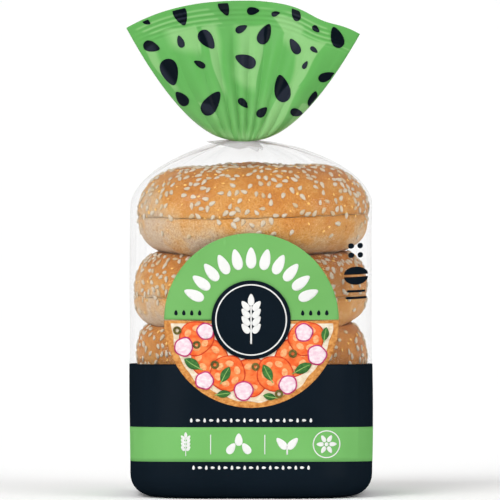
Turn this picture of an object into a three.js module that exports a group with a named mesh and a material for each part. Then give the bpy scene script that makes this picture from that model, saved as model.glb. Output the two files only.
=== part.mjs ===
// A sealed plastic bag that holds a stack of four sliced bagels, standing on its base.
// The film is pulled into a short neck above the stack and spreads out again above it
// as a flat, pleated fan with a sealed top edge. The bag is one thin-walled solid: its skin
// starts at the top of the hollow, runs down inside, out through a pinhole in the base,
// and up outside to the seal. Each bagel is cut flat into an upper and a lower half.
// Millimetres, +Z up, the front faces -Y, origin at the centre of the base.

import * as THREE from "three";

// Body: a column round the stack, squarish in plan.
const HALF_WIDTH = 55;
const HALF_DEPTH = 54.4;
const BASE_ROUNDING = 9.5;
const SHOULDER_Z = 131.7;
const SQUARENESS_AT_BASE = 3.8;
const SQUARENESS_AT_SHOULDER = 3.1;

// Wall of the body, and the pinhole that opens its hollow.
const WALL = 0.5;
const HOLLOW_LAST_SHARE = 0.36;
const PINHOLE_RADIUS = 1.5;
const PINHOLE_Y = 30;

// Shoulder: a dome from the body to the neck, gathered into radial pleats.
const DOME_HEIGHT = 29;
const DOME_FULLNESS = 1.75;
const DOME_LAST_SHARE = 0.17;
const SHOULDER_PLEATS = 16;
const SHOULDER_PLEAT_DEPTH = 1.4;
const NECK_RADIUS = 6;
const NECK_X = -3.2;
const NECK_Z = 161.5;

// Fan: front and back sheet above the neck, from the bowl at the neck to the seal.
const FAN_START = 8;
const FAN_LEFT = 53.6;
const FAN_RIGHT = 52.7;
const FAN_SPREAD = 0.6;
const FAN_LEFT_Z = 211.8;
const FAN_RIGHT_Z = 209.2;
const FAN_TOP_Z = 224.2;
const FAN_BOWL = 8.5;
const FAN_BULGE = 3.4;
const FAN_WAVE = 6;
const FAN_PLEATS = 9;
const FAN_PLEAT_DEPTH = 1.7;
const FAN_DROOP = 3.2;
const SEAL_THICKNESS = 0.9;
const SEAL_START = 0.9;

// Bagels, from the top of the stack down. Low, cut and top are the heights of the underside,
// the cut and the crown. Lean and pitch tip the cut up to the right and up to the back, in
// degrees. Upper and lower are the fullness of each half's section, on the left and on the
// right: 2 gives an ellipse, more gives squarer shoulders.
const BAGELS = [
  {
    x: 0.6, radius: 52.5, low: 108.9, cut: 127, top: 149,
    lean: 0.9, pitch: 0, upper: [1.95, 2.05], lower: [2.45, 2.9],
  },
  {
    x: -0.35, radius: 52.4, low: 75, cut: 91.2, top: 111.7,
    lean: 0.3, pitch: 1.5, upper: [2.5, 3], lower: [2.7, 2.65],
  },
  {
    x: 0, radius: 51.8, low: 39.2, cut: 55.4, top: 79.2,
    lean: 0, pitch: 0, upper: [4.2, 4], lower: [3.1, 3.1],
  },
  {
    x: 0.2, radius: 52.1, low: 1, cut: 18.2, top: 41,
    lean: 0, pitch: 0, upper: [3, 3], lower: [3.1, 3.1],
  },
];
const HOLE_RADIUS = 8;
const CUT_GAP = 0.3;
const RESTING_GAP = 0.9;

// Steps of the skin and of the bagels.
const COLUMNS = 72;
const ROUNDING_STEPS = 4;
const WALL_STEPS = 4;
const DOME_STEPS = 12;
const HOLLOW_DOME_STEPS = 8;
const NECK_STEPS = 2;
const FAN_STEPS = 20;
const BAGEL_STEPS = 32;
const CRUST_STEPS = 8;

const { lerp, smoothstep, clamp, degToRad } = THREE.MathUtils;

// Radius of a squarish oval at a plan angle; 2 gives an ellipse, more gives squarer corners.
function ovalRadius(angle, halfWidth, halfDepth, squareness) {
  const across = Math.abs(Math.cos(angle) / halfWidth) ** squareness;
  const along = Math.abs(Math.sin(angle) / halfDepth) ** squareness;
  return (across + along) ** (-1 / squareness);
}

// Plan angles of the columns, starting at +X and turning towards +Y.
function columnAngles() {
  return Array.from({ length: COLUMNS }, (_, i) => (2 * Math.PI * i) / COLUMNS);
}

// A level ring whose radius comes from a function of the plan angle.
function levelRing(z, radiusAt, centreX = 0, centreY = 0) {
  return columnAngles().map((angle) => {
    const radius = radiusAt(angle);
    return new THREE.Vector3(centreX + radius * Math.cos(angle), centreY + radius * Math.sin(angle), z);
  });
}

function bodySquareness(z) {
  return lerp(SQUARENESS_AT_BASE, SQUARENESS_AT_SHOULDER, clamp(z / SHOULDER_Z, 0, 1));
}

function bodyRing(z, inset) {
  const squareness = bodySquareness(z);
  return levelRing(z, (angle) =>
    ovalRadius(angle, HALF_WIDTH - inset, HALF_DEPTH - inset, squareness),
  );
}

// The rounding where the walls turn under into the flat base. Here and below, wall is how
// far the rings lie inside the bag's outer face: 0 outside, WALL for the hollow.
function baseRings(wall) {
  return Array.from({ length: ROUNDING_STEPS }, (_, i) => {
    const turn = (i / ROUNDING_STEPS) * (Math.PI / 2);
    const radius = BASE_ROUNDING - wall;
    return bodyRing(BASE_ROUNDING - radius * Math.cos(turn), BASE_ROUNDING - radius * Math.sin(turn));
  });
}

function wallRings(wall) {
  return Array.from({ length: WALL_STEPS }, (_, i) =>
    bodyRing(lerp(BASE_ROUNDING, SHOULDER_Z, i / WALL_STEPS), wall),
  );
}

// How deep the radial pleats are at a share of the body's width.
function shoulderPleat(angle, share) {
  const depth = SHOULDER_PLEAT_DEPTH * (1 - smoothstep(share, 0.3, 0.9));
  const ripple = 0.5 - 0.5 * Math.cos(SHOULDER_PLEATS * angle + 0.7 * Math.sin(3 * angle));
  return depth * ripple * Math.min(1, share / 0.3);
}

// A ring of the dome, at a turn of its profile from 0 at the body towards a quarter turn.
function domeRing(turn, wall) {
  const share = Math.cos(turn) ** (2 / DOME_FULLNESS);
  const rise = Math.sin(turn) ** (2 / DOME_FULLNESS);
  const slope = new THREE.Vector2(
    share ** (DOME_FULLNESS - 1) / HALF_WIDTH,
    rise ** (DOME_FULLNESS - 1) / DOME_HEIGHT,
  ).normalize();
  const squareness = lerp(2, SQUARENESS_AT_SHOULDER, smoothstep(share, 0.2, 1));
  const radiusAt = (angle) => {
    const full = ovalRadius(angle, HALF_WIDTH, HALF_DEPTH, squareness);
    return full * share - shoulderPleat(angle, share) - wall * slope.x;
  };
  const z = SHOULDER_Z + DOME_HEIGHT * rise - wall * slope.y;
  return levelRing(z, radiusAt, NECK_X * (1 - smoothstep(share, 0.15, 0.45)));
}

function domeRings(wall, lastShare, steps) {
  const lastTurn = Math.acos(lastShare ** (DOME_FULLNESS / 2));
  return Array.from({ length: steps }, (_, i) => domeRing((lastTurn * i) / (steps - 1), wall));
}

function neckRings() {
  const domeTop = SHOULDER_Z + DOME_HEIGHT;
  return Array.from({ length: NECK_STEPS }, (_, i) => {
    const share = (i + 1) / (NECK_STEPS + 1);
    const radius = NECK_RADIUS + 1.2 * (1 - share);
    return levelRing(lerp(domeTop - 0.2, NECK_Z, share), () => radius, NECK_X);
  });
}

// Height of the fan's top edge, at a place from -1 on the left to 1 on the right:
// an even sag on the left, a step down on the right.
function fanTopZ(place) {
  if (place < 0) return lerp(FAN_TOP_Z, FAN_LEFT_Z, Math.abs(place) ** 2.5);
  const step = 0.15 * Math.exp(-(((place - 0.68) / 0.17) ** 2));
  return lerp(FAN_TOP_Z, FAN_RIGHT_Z, place ** 2.1 + step);
}

// How far the whole fan sways forward and back, in slow waves that start at the neck.
function fanWave(place, rise) {
  return FAN_WAVE * rise * Math.sin(4.6 * place + 0.9) * (1 - 0.3 * place * place);
}

// Half the distance between the sheets: a bowl just above the neck, flat at the seal.
function fanHalfGap(place, rise) {
  const round = Math.sqrt(Math.max(0, 1 - place * place));
  const bowl = lerp(NECK_RADIUS, FAN_BOWL, smoothstep(rise, 0, 0.06)) * (1 - smoothstep(rise, 0.02, 0.6));
  const bulge = FAN_BULGE * smoothstep(rise, 0.1, 0.4) * (1 - smoothstep(rise, 0.5, SEAL_START));
  return (bowl + bulge) * round + (SEAL_THICKNESS / 2) * smoothstep(rise, 0, 0.1) * Math.min(1, 3 * round);
}

// Relief of the pleats that run up from the neck, each sheet with its own rhythm.
function fanPleat(place, rise, side) {
  const depth = FAN_PLEAT_DEPTH * smoothstep(rise, 0, 0.15) * (1 - smoothstep(rise, 0.55, SEAL_START));
  const phase = side > 0 ? 0.4 : 2.1;
  const swing = (FAN_PLEATS * Math.PI * (place + 0.12 * Math.sin(3 * place))) / 2 + phase;
  return depth * Math.abs(Math.sin(swing)) * Math.sqrt(Math.max(0, 1 - place * place));
}

function fanRing(rise) {
  return columnAngles().map((angle) => {
    const turn = angle <= Math.PI ? angle : 2 * Math.PI - angle;
    const even = 1 - (2 * turn) / Math.PI;
    const place = lerp(Math.cos(turn), even, smoothstep(rise, 0, 0.3));
    const side = angle <= Math.PI ? 1 : -1;
    const reach = place < 0 ? FAN_LEFT : FAN_RIGHT;
    const x = NECK_X + place * lerp(FAN_START, reach, rise ** FAN_SPREAD);
    const sag = smoothstep(rise, 0, 0.035) * (1 - smoothstep(rise, 0.035, 0.3));
    const droop = FAN_DROOP * (1 - place * place) * sag;
    const z = lerp(NECK_Z, fanTopZ(place), rise) - droop;
    const out = fanHalfGap(place, rise) + fanPleat(place, rise, side);
    return new THREE.Vector3(x, fanWave(place, rise) + side * out, z);
  });
}

function fanRings() {
  return Array.from({ length: FAN_STEPS + 1 }, (_, i) => fanRing((i / FAN_STEPS) ** 1.5));
}

// The hollow's rings, from its top down to the pinhole.
function hollowRings() {
  const dome = domeRings(WALL, HOLLOW_LAST_SHARE, HOLLOW_DOME_STEPS);
  const rings = [...baseRings(WALL), ...wallRings(WALL), ...dome];
  const pinhole = [WALL, 0].map((z) => levelRing(z, () => PINHOLE_RADIUS, 0, PINHOLE_Y));
  return [...rings.reverse(), ...pinhole];
}

function outerRings() {
  const dome = domeRings(0, DOME_LAST_SHARE, DOME_STEPS);
  return [...baseRings(0), ...wallRings(0), ...dome, ...neckRings(), ...fanRings()];
}

// Joins neighbouring rings with two triangles a step, and closes both ends with strips
// that run across from the column on one side to its mirror on the other.
function skin(rings) {
  const positions = rings.flat().flatMap((p) => [p.x, p.y, p.z]);
  const corner = (ring, column) => ring * COLUMNS + ((column + COLUMNS) % COLUMNS);
  const faces = [];
  const quad = (a, b, c, d) => faces.push(a, b, c, a, c, d);
  for (let ring = 0; ring < rings.length - 1; ring += 1) {
    for (let i = 0; i < COLUMNS; i += 1) {
      quad(corner(ring, i), corner(ring, i + 1), corner(ring + 1, i + 1), corner(ring + 1, i));
    }
  }
  const close = (ring, up) => {
    for (let i = 0; i < COLUMNS / 2; i += 1) {
      const [a, b, c, d] = [corner(ring, i), corner(ring, i + 1), corner(ring, -i - 1), corner(ring, -i)];
      const strip = [[a, b, c], [a, c, d]].filter((t) => new Set(t).size === 3);
      strip.forEach(([p, q, r]) => faces.push(...(up ? [p, q, r] : [p, r, q])));
    }
  };
  close(0, false);
  close(rings.length - 1, true);
  const geometry = new THREE.BufferGeometry();
  geometry.setAttribute("position", new THREE.Float32BufferAttribute(positions, 3));
  geometry.setIndex(faces);
  geometry.computeVertexNormals();
  return geometry;
}

function makeBag() {
  const film = new THREE.MeshStandardMaterial({
    color: 0xf4f6f4, roughness: 0.3, metalness: 0, transparent: true, opacity: 0.3,
  });
  const bag = new THREE.Mesh(skin([...hollowRings(), ...outerRings()]), film);
  bag.name = "bag";
  return bag;
}

// Height of a bagel's cut over a place.
function cutZ(bagel, x, y) {
  const across = Math.tan(degToRad(bagel.lean)) * (x - bagel.x);
  return bagel.cut + across + Math.tan(degToRad(bagel.pitch)) * y;
}

// Middle and half width of a bagel's section, measured from the bagel's axis.
function sectionOf(bagel) {
  return { middle: (bagel.radius + HOLE_RADIUS) / 2, reach: (bagel.radius - HOLE_RADIUS) / 2 };
}

function fullnessAt([left, right], angle) {
  return lerp(right, left, 0.5 - 0.5 * Math.cos(angle));
}

// Height of a bagel's underside over a place, without limit where the bagel doesn't reach.
function undersideZ(bagel, x, y) {
  const { middle, reach } = sectionOf(bagel);
  const fullness = fullnessAt(bagel.lower, Math.atan2(y, x - bagel.x));
  const out = Math.abs(Math.hypot(x - bagel.x, y) - middle) / reach;
  if (out >= 1) return Infinity;
  return cutZ(bagel, x, y) - (bagel.cut - bagel.low) * (1 - out ** fullness) ** (1 / fullness);
}

// Points of a half bagel, in rings from the outer edge of its cut, over the crust, to the
// edge of the hole. An upper half is pressed in where the bagel above lies on it.
function halfRings(bagel, isUpper, above) {
  const { middle, reach } = sectionOf(bagel);
  const height = isUpper ? bagel.top - bagel.cut : bagel.cut - bagel.low;
  return Array.from({ length: CRUST_STEPS + 1 }, (_, step) => {
    const turn = (Math.PI * step) / CRUST_STEPS;
    return Array.from({ length: BAGEL_STEPS }, (_, i) => {
      const angle = (2 * Math.PI * i) / BAGEL_STEPS;
      const power = 2 / fullnessAt(isUpper ? bagel.upper : bagel.lower, angle);
      const out = Math.sign(Math.cos(turn)) * Math.abs(Math.cos(turn)) ** power;
      const rise = CUT_GAP / 2 + height * Math.abs(Math.sin(turn)) ** power;
      const x = bagel.x + (middle + reach * out) * Math.cos(angle);
      const y = (middle + reach * out) * Math.sin(angle);
      const z = cutZ(bagel, x, y) + (isUpper ? rise : -rise);
      return new THREE.Vector3(x, y, above ? Math.min(z, undersideZ(above, x, y) - RESTING_GAP) : z);
    });
  });
}

// A skin over rings that close on themselves both ways round.
function ringSkin(rings) {
  const faces = [];
  const corner = (ring, i) => (ring % rings.length) * BAGEL_STEPS + (i % BAGEL_STEPS);
  rings.forEach((_, ring) => {
    for (let i = 0; i < BAGEL_STEPS; i += 1) {
      const [a, b] = [corner(ring, i), corner(ring, i + 1)];
      const [c, d] = [corner(ring + 1, i + 1), corner(ring + 1, i)];
      faces.push(a, b, c, a, c, d);
    }
  });
  const geometry = new THREE.BufferGeometry();
  const positions = rings.flat().flatMap((p) => [p.x, p.y, p.z]);
  geometry.setAttribute("position", new THREE.Float32BufferAttribute(positions, 3));
  geometry.setIndex(faces);
  geometry.computeVertexNormals();
  return geometry;
}

// The two halves of one bagel. The lower half's rings run the other way, to face out too.
function makeBagel(bagel, number, above) {
  const crust = new THREE.MeshStandardMaterial({ color: 0xd2a05c, roughness: 0.75, metalness: 0 });
  const upper = new THREE.Mesh(ringSkin(halfRings(bagel, true, above)), crust);
  upper.name = `bagel_${number}_upper`;
  const lower = new THREE.Mesh(ringSkin(halfRings(bagel, false).reverse()), crust);
  lower.name = `bagel_${number}_lower`;
  return new THREE.Group().add(upper, lower);
}

const pack = new THREE.Group();
pack.add(makeBag());
BAGELS.forEach((bagel, i) => pack.add(makeBagel(bagel, i + 1, BAGELS[i - 1])));

export default pack;
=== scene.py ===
"""A sealed clear bag round a stack of four sliced sesame bagels, standing on its base.

The film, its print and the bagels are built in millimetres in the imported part's frame
(+Z up, front towards -Y) and scaled to metres when each mesh is made.
"""

import itertools
import math
import random

import bmesh
import bpy
import numpy as np
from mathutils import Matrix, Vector, noise


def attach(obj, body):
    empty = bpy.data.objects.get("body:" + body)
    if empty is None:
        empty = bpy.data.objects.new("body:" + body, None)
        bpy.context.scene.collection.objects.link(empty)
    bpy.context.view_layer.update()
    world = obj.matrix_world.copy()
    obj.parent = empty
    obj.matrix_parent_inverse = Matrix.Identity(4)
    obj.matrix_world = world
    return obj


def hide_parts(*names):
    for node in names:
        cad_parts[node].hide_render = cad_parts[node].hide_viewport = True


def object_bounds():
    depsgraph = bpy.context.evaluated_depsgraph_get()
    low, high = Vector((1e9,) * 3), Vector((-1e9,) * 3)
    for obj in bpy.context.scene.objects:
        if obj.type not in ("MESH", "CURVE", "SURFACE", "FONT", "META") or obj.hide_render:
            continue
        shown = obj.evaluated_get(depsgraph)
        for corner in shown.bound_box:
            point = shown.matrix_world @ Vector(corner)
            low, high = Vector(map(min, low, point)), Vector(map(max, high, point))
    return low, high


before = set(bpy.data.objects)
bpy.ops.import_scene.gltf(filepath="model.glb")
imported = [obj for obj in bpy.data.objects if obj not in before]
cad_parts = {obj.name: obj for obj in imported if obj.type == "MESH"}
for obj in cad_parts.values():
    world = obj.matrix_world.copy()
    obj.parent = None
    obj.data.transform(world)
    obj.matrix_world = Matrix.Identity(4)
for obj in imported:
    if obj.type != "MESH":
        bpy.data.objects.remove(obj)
cad_low, cad_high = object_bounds()

MM = 0.001
PRINT_SLOPE = math.tan(math.radians(2))
BODY = "root"

# The bag's own sizes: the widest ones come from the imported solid, the rest repeat it.
HALF_WIDTH = cad_high.x / MM
HALF_DEPTH = cad_high.y / MM
FAN_TOP_Z = cad_high.z / MM
BASE_ROUNDING = 9.5
SHOULDER_Z = 131.7
SQUARENESS_AT_BASE = 3.8
SQUARENESS_AT_SHOULDER = 3.1
DOME_HEIGHT = 29
DOME_FULLNESS = 1.75
DOME_LAST_SHARE = 0.17
SHOULDER_PLEATS = 16
SHOULDER_PLEAT_DEPTH = 1.4
NECK_RADIUS = 6
NECK_X = -3.2
NECK_Z = 161.5
FAN_START = 8
FAN_LEFT = 53.6
FAN_RIGHT = 52.7
FAN_SPREAD = 0.6
FAN_LEFT_Z = 211.8
FAN_RIGHT_Z = 209.2
FAN_BOWL = 8.5
FAN_BULGE = 3.4
FAN_WAVE = 6
FAN_PLEATS = 9
FAN_PLEAT_DEPTH = 1.7
FAN_DROOP = 3.2
SEAL_THICKNESS = 0.9
SEAL_START = 0.9
SEAL_RIB_STEP = 0.036

# Film and ink. Each corner fold has its angle from the pack's side, in degrees, and its height.
FILM = 0.06
FILM_COLUMNS = 384
INK_STEP = 0.05
CORNER_FOLDS = [(30, 0.22), (41, 0.45)]
FOLD_WIDTH = 1.5

# Print on the body, as heights and places on the front.
NAVY_TOP_Z = 61.0
BAND_LOW_Z = 16.9
BAND_HIGH_Z = 32.5
DISC_Z = 80.8
DISC_RADIUS = 39.5
DISC_CELL = (1.6, 6.0)
EMBLEM_RADIUS = 17.9

# The stack, from the top bagel down. Low, cut and top are the heights of the underside, the
# cut and the crown. Lean and pitch tip the cut up to the right and up to the back, in degrees.
# Upper and lower are the fullness of each half's section, on the left and on the right. Browned
# says how much more the bagel was baked. Painted light left says how much its left side is paled
# by painted light.
STACK = [
    {
        "x": 0.6, "radius": 52.7, "low": 108.9, "cut": 127, "top": 149,
        "lean": 0.9, "pitch": 0, "upper": (1.95, 2.05), "lower": (2.45, 2.9),
        "browned": -0.08, "painted_light_left": 0.26,
    },
    {
        "x": -0.35, "radius": 52.6, "low": 75, "cut": 91.2, "top": 111.7,
        "lean": 0.3, "pitch": 1.5, "upper": (2.5, 3), "lower": (2.7, 2.65),
        "browned": 0.04, "painted_light_left": 0.14,
    },
    {
        "x": 0, "radius": 52, "low": 39.2, "cut": 55.4, "top": 79.2,
        "lean": 0, "pitch": 0, "upper": (4.2, 4), "lower": (3.1, 3.1),
        "browned": 0.1, "painted_light_left": 0,
    },
    {
        "x": 0.2, "radius": 52.3, "low": 1, "cut": 18.2, "top": 41,
        "lean": 0, "pitch": 0, "upper": (3, 3), "lower": (3.1, 3.1),
        "browned": 0.05, "painted_light_left": 0.1,
    },
]
HOLE_RADIUS = 8
CUT_GAP = 0.1
CUT_SAG = 0.18
RESTING_GAP = 0.3
FILM_GAP = 0.35
SEED_ROOM = 1.3
SEED_LIFT = 0.16
SEEDS_APART = 2.7
CLUMP_SIZE = 11
TOASTED_SHARE = 0.2


def smoothstep(value, low, high):
    share = np.clip((value - low) / (high - low), 0, 1)
    return share * share * (3 - 2 * share)


def hump(value, start, full, fading, end):
    """A share that rises from 0 at start to 1 at full, and falls from fading to 0 at end."""
    return smoothstep(value, start, full) * (1 - smoothstep(value, fading, end))


def lerp(a, b, share):
    return a + (b - a) * share


def turns(count):
    """Angles that go once round, in radians from +X."""
    return np.arange(count) * 2 * math.pi / count


def ring_points(turn, radius, z, x=0):
    """Points round the upright axis through x, from their radius and height at each turn."""
    z = np.broadcast_to(z, turn.shape)
    return np.stack([x + radius * np.cos(turn), radius * np.sin(turn), z], axis=1)


def srgb(red, green, blue):
    """A colour given as 0 to 255 screen values, as the linear numbers that shaders use."""
    parts = [c / 255 for c in (red, green, blue)]
    linear = [c / 12.92 if c <= 0.04045 else ((c + 0.055) / 1.055) ** 2.4 for c in parts]
    return (*linear, 1.0)


# Materials


class Nodes:
    """A node tree with short calls for making and joining its nodes.

    A colour is given as three screen values. Sizes are in millimetres.
    """

    def __init__(self, tree):
        self.tree = tree

    def add(self, kind, **inputs):
        node = self.tree.nodes.new(kind)
        for name, value in inputs.items():
            self.feed(node.inputs[name.replace("_", " ")], value)
        return node

    def feed(self, socket, value):
        if isinstance(value, bpy.types.NodeSocket):
            self.tree.links.new(value, socket)
        else:
            socket.default_value = srgb(*value) if isinstance(value, tuple) else value

    def math(self, operation, a, b=0.0, clamp=False):
        node = self.add("ShaderNodeMath")
        node.operation = operation
        node.use_clamp = clamp
        self.feed(node.inputs[0], a)
        self.feed(node.inputs[1], b)
        return node.outputs[0]

    def swing(self, value, middle, size):
        """How far a value lies off its middle, times a size."""
        return self.math("MULTIPLY", self.math("SUBTRACT", value, middle), size)

    def remap(self, value, low, high, to_low=0.0, to_high=1.0, kind="LINEAR"):
        node = self.add(
            "ShaderNodeMapRange", Value=value, From_Min=low, From_Max=high, To_Min=to_low, To_Max=to_high
        )
        node.interpolation_type = kind
        return node.outputs[0]


class Shader(Nodes):
    """A material's nodes."""

    def __init__(self, name):
        self.material = bpy.data.materials.new(name)
        self.material.use_nodes = True
        super().__init__(self.material.node_tree)
        self.tree.nodes.clear()
        self.output = self.add("ShaderNodeOutputMaterial")

    def place(self, x=1, y=1, z=1):
        """Position on the object in metres, stretched along each axis."""
        node = self.add("ShaderNodeMapping", Vector=self.add("ShaderNodeTexCoord").outputs["Object"])
        node.inputs["Scale"].default_value = (x, y, z)
        return node.outputs["Vector"]

    def noise(self, size, detail=2.0, roughness=0.5, stretch=(1, 1, 1)):
        vector = self.place(*stretch)
        scale = 1 / (size * MM)
        return self.add(
            "ShaderNodeTexNoise", Vector=vector, Scale=scale, Detail=detail, Roughness=roughness
        ).outputs["Fac"]

    def mix(self, share, a, b):
        node = self.add("ShaderNodeMix")
        node.data_type = "RGBA"
        self.feed(node.inputs[0], share)
        self.feed(node.inputs[6], a)
        self.feed(node.inputs[7], b)
        return node.outputs[2]

    def ramp(self, value, stops):
        node = self.add("ShaderNodeValToRGB", Fac=value)
        band = node.color_ramp
        while len(band.elements) < len(stops):
            band.elements.new(0.5)
        for element, (at, colour) in zip(band.elements, stops):
            element.position = at
            element.color = srgb(*colour)
        return node.outputs["Color"]

    def attribute(self, name):
        node = self.add("ShaderNodeAttribute")
        node.attribute_name = name
        return node.outputs["Fac"]

    def bump(self, height, strength, distance):
        node = self.add("ShaderNodeBump", Height=height, Strength=strength, Distance=distance * MM)
        return node.outputs["Normal"]

    def layered(self, share, under, over):
        node = self.add("ShaderNodeMixShader", Fac=share)
        self.feed(node.inputs[1], under)
        self.feed(node.inputs[2], over)
        return node.outputs[0]

    def principled(self, **inputs):
        return self.add("ShaderNodeBsdfPrincipled", **inputs).outputs[0]

    def finish(self, surface):
        self.feed(self.output.inputs["Surface"], surface)
        return self.material


def printed_material(name, colour, lighter, gloss_share=0.006):
    """Ink on film: an almost even colour under a faint gloss that shows the film's crinkle."""
    s = Shader(name)
    tone = s.remap(s.noise(26), 0.35, 0.65)
    normal = s.bump(s.noise(9, detail=3, stretch=(1, 1, 0.45)), 0.22, 0.6)
    ink = s.mix(tone, colour, lighter)
    base = s.principled(Base_Color=ink, Roughness=0.6, Specular_IOR_Level=0.0, Normal=normal)
    gloss = s.add("ShaderNodeBsdfGlossy", Roughness=0.3, Normal=normal).outputs[0]
    return s.finish(s.layered(gloss_share, base, gloss))


def fan_material(name, colour, lit_colour, gloss):
    """Ink on the fan's folded film, with painted highlights: the lit colour on chosen facets."""
    s = Shader(name)
    patchy = s.swing(s.noise(14, detail=3), 0.52, 0.25)
    # Painted highlights from the lit attribute, with random patches of tone added.
    tone = s.math("ADD", s.attribute("lit"), patchy, clamp=True)
    normal = s.bump(s.noise(5, detail=3), 0.1, 0.5)
    base = s.mix(tone, colour, lit_colour)
    return s.finish(s.principled(Base_Color=base, Roughness=0.25, Specular_IOR_Level=gloss, Normal=normal))


def picture_material(name, dark, light, grain):
    """Ink for the food picture: two tones of one food, mixed in soft streaks."""
    s = Shader(name)
    streak = s.noise(grain, detail=4, roughness=0.6, stretch=(1, 1, 1.6))
    base = s.mix(s.remap(streak, 0.38, 0.62), dark, light)
    return s.finish(s.principled(Base_Color=base, Roughness=0.5, Specular_IOR_Level=0.1))


def film_material():
    """Clear film: a thin veil that thickens where it turns away or lies in pleats, with a gloss."""
    s = Shader("clear_film")
    normal = s.bump(s.noise(7, detail=3, stretch=(1, 1, 0.5)), 0.15, 0.5)
    facing = s.add("ShaderNodeLayerWeight", Blend=0.5, Normal=normal).outputs["Facing"]
    grazing = s.math("MULTIPLY", s.math("POWER", facing, 1.8), 0.07)
    veil = s.math("ADD", s.math("ADD", grazing, s.attribute("gather")), 0.003, clamp=True)
    haze = s.principled(Base_Color=(184, 184, 186), Roughness=0.5, Specular_IOR_Level=0.1, Normal=normal)
    clear = s.add("ShaderNodeBsdfTransparent").outputs[0]
    gloss = s.add("ShaderNodeBsdfGlossy", Roughness=0.15, Normal=normal).outputs[0]
    shine = s.math("MULTIPLY", s.math("SUBTRACT", 1.0, facing), 0.008)
    return s.finish(s.layered(shine, s.layered(veil, clear, haze), gloss))


def crust_material():
    """Baked crust: pale below, golden at the side, browner towards the top, finely pitted."""
    s = Shader("crust")
    # This attribute holds the baking and also painted light on each bagel's left and painted shade towards
    # its right.
    bake_and_side_light = s.attribute("bake_and_side_light")
    patches = s.noise(19, detail=3, roughness=0.6)
    blotches = s.noise(4.2, detail=4, roughness=0.7)
    pores = s.noise(0.7, detail=3, roughness=0.8)
    specks = s.noise(1.9, detail=2, roughness=0.6)
    heat_and_side_light = s.math("ADD", bake_and_side_light, s.swing(patches, 0.5, 1.5))
    heat_and_side_light = s.math("ADD", heat_and_side_light, s.swing(blotches, 0.5, 0.5), clamp=True)
    colour = s.ramp(
        heat_and_side_light,
        [
            (0.0, (190, 169, 144)),
            (0.2, (196, 158, 110)),
            (0.42, (197, 140, 66)),
            (0.68, (189, 123, 51)),
            (1.0, (166, 101, 44)),
        ],
    )
    speck = s.mix(s.remap(heat_and_side_light, 0.25, 0.75), (218, 186, 142), (208, 146, 70))
    colour = s.mix(s.remap(pores, 0.52, 0.62, 0, 0.6), colour, (152, 84, 26))
    colour = s.mix(s.remap(pores, 0.48, 0.36, 0, 0.7), colour, speck)
    colour = s.mix(s.remap(specks, 0.66, 0.74, 0, 0.5), colour, (120, 66, 30))
    relief = s.math("ADD", s.math("MULTIPLY", pores, 0.45), blotches)
    normal = s.bump(relief, 0.55, 0.7)
    rough = s.remap(blotches, 0.3, 0.7, 0.4, 0.6)
    return s.finish(
        s.principled(Base_Color=colour, Roughness=rough, Specular_IOR_Level=0.15, Normal=normal)
    )


def crumb_material():
    """The cut face: pale crumb with small open holes."""
    s = Shader("crumb")
    holes = s.noise(1.8, detail=4, roughness=0.7)
    colour = s.mix(s.remap(holes, 0.4, 0.6), (214, 186, 142), (243, 230, 202))
    normal = s.bump(holes, 0.8, 0.8)
    return s.finish(s.principled(Base_Color=colour, Roughness=0.8, Normal=normal))


def sesame_material():
    """Hulled seeds: cream, a few of them toasted to gold."""
    s = Shader("sesame")
    toast = s.attribute("toast")
    colour = s.ramp(
        toast,
        [
            (0.0, (198, 186, 166)),
            (0.55, (190, 174, 150)),
            (0.85, (190, 162, 120)),
            (1.0, (236, 188, 98)),
        ],
    )
    grain = s.noise(0.5, detail=2)
    colour = s.mix(s.remap(grain, 0.45, 0.75, 0, 0.3), colour, (188, 158, 118))
    normal = s.bump(grain, 0.25, 0.15)
    return s.finish(
        s.principled(Base_Color=colour, Roughness=0.42, Specular_IOR_Level=0.45, Normal=normal)
    )


# The food picture's inks: a darker and a lighter tone of each food, and the size of its grain.
PICTURE_INKS = {
    "toast": ((170, 104, 46), (204, 146, 80), 2.0),
    "cream": ((206, 186, 156), (222, 212, 194), 2.4),
    "tomato_skin": ((186, 50, 24), (202, 66, 34), 4.0),
    "tomato": ((214, 86, 38), (224, 122, 66), 4.0),
    "tomato_light": ((224, 138, 86), (230, 172, 122), 1.6),
    "radish": ((214, 180, 194), (222, 212, 214), 2.0),
    "radish_edge": ((164, 28, 88), (188, 58, 114), 2.0),
    "olive": ((72, 66, 30), (112, 102, 50), 1.5),
    "leaf": ((40, 86, 42), (66, 116, 54), 2.0),
    "leaf_light": ((118, 158, 84), (136, 172, 98), 1.2),
}
MATERIALS = {
    # The label's and the band's green are one ink, in two tones as painted light and shade: a little darker
    # on the label, which gets more light, and lighter on the lower band, which gets less.
    "green": printed_material("green_print", (102, 160, 88), (106, 164, 92)),
    # The fans' second colours are painted highlights, mixed in by the lit attribute.
    "fan_green": fan_material("green_film", (88, 156, 79), (123, 175, 109), gloss=0.08),
    "fan_navy": fan_material("navy_film", (2, 11, 19), (30, 35, 46), gloss=0.05),
    "band": printed_material("green_band", (103, 165, 90), (108, 169, 95)),
    "navy": printed_material("navy_print", (10, 20, 28), (12, 22, 31), gloss_share=0.003),
    "white": printed_material("white_print", (212, 212, 210), (216, 216, 214)),
    "film": film_material(),
    "crust": crust_material(),
    "crumb": crumb_material(),
    "sesame": sesame_material(),
}
for key, tones in PICTURE_INKS.items():
    MATERIALS[key] = picture_material(f"picture_{key}", *tones)


# Meshes


def put_in_scene(name, data):
    thing = bpy.data.objects.new(name, data)
    bpy.context.scene.collection.objects.link(thing)
    return thing


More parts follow.
